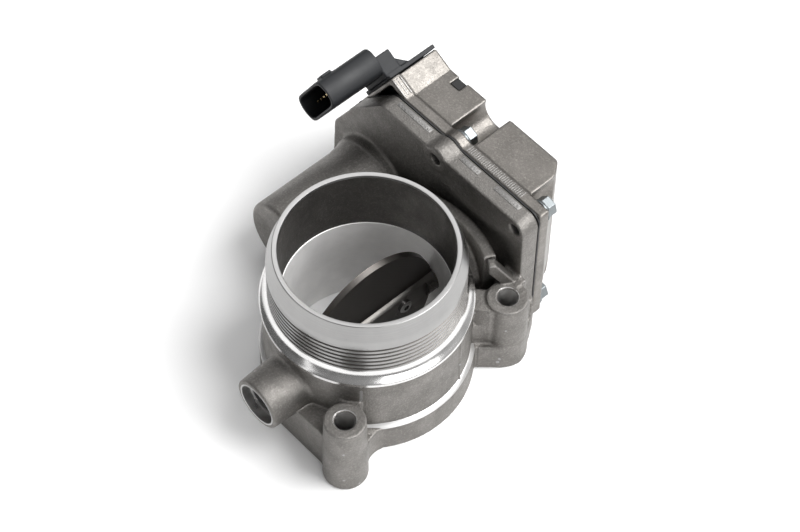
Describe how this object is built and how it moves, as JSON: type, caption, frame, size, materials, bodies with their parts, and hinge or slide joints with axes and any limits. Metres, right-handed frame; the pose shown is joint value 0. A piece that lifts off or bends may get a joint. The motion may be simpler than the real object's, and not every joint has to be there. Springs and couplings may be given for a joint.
{
  "type": "throttle body",
  "caption": "Cast throttle body with a round air bore and hose spigot, a pivoting flap on a cross shaft, and a side gear case with motor and electrical connector.",
  "frame": {"origin": "bore axis at the flange face that bolts to the manifold", "axes": "+Z along the bore to the hose spigot, +X along the flap shaft to the gear case, +Y towards the motor"},
  "size_m": [0.1326, 0.1148, 0.0831],
  "materials": {
    "cast_aluminium": "cast, matt, slightly rough",
    "cover_aluminium": "die cast, matt, fine grain",
    "flap_metal": "turned, satin",
    "shaft_steel": "ground",
    "screw_steel": "bright",
    "bearing_steel": "ground",
    "rubber": "matt",
    "plug_steel": "pressed",
    "gear_plastic": "moulded, natural nylon",
    "magnet": "sintered",
    "spring_steel": "drawn wire",
    "bush_plastic": "moulded",
    "pin_steel": "ground",
    "motor_steel": "zinc plated",
    "rotor_steel": "laminated stack with windings",
    "carbon": "pressed carbon",
    "brass": "bright",
    "zinc_steel": "zinc plated, bluish",
    "black_plastic": "moulded, fine grain",
    "circuit_board": "satin"
  },
  "bodies": {
    "housing": {"throttle_housing": "cast_aluminium", "drive_bearing": "bearing_steel", "shaft_seal": "rubber", "needle_bearing": "bearing_steel", "bearing_plug": "plug_steel", "flange_seal": "rubber", "return_spring": "spring_steel", "spring_bush": "bush_plastic", "stop_pins": "pin_steel", "idler_pin": "pin_steel", "motor_can": "motor_steel", "motor_end_bell": "bush_plastic", "motor_magnets": "magnet", "motor_wave_spring": "spring_steel", "motor_brushes": "carbon", "motor_strap": "motor_steel", "strap_screws": "screw_steel", "motor_terminals": "brass", "cover_gasket": "rubber", "gear_cover": "cover_aluminium", "cover_screws": "zinc_steel", "connector_housing": "black_plastic", "connector_pins": "brass", "lead_frame": "black_plastic", "sensor_board": "circuit_board"},
    "throttle": {"throttle_shaft": "shaft_steel", "throttle_flap": "flap_metal", "flap_screws": "screw_steel", "sector_gear": "gear_plastic", "position_magnet": "magnet"},
    "idler": {"idler_gear": "gear_plastic"},
    "rotor": {"motor_rotor": "rotor_steel", "motor_pinion": "brass"}
  },
  "joints": [
    {"name": "throttle_hinge", "type": "hinge", "parent": "housing", "child": "throttle", "pos_m": [0, 0, 0.0224], "axis": [1, 0, 0], "range_deg": [0, 74], "stiffness_Nm_per_rad": 0.05, "springref_deg": -34.38, "deforming": ["return_spring"]},
    {"name": "idler_spin", "type": "hinge", "parent": "housing", "child": "idler", "pos_m": [0, 0.02493, 0.02607], "axis": [1, 0, 0], "range_deg": [-315, 0]},
    {"name": "motor_spin", "type": "hinge", "parent": "housing", "child": "rotor", "pos_m": [0, 0.051, 0.017], "axis": [1, 0, 0], "range_deg": [0, 1495]}
  ],
  "couplings": [
    {"joint": "idler_spin", "follows": "throttle_hinge", "ratio": -4.25},
    {"joint": "motor_spin", "follows": "throttle_hinge", "ratio": 20.188}
  ]
}
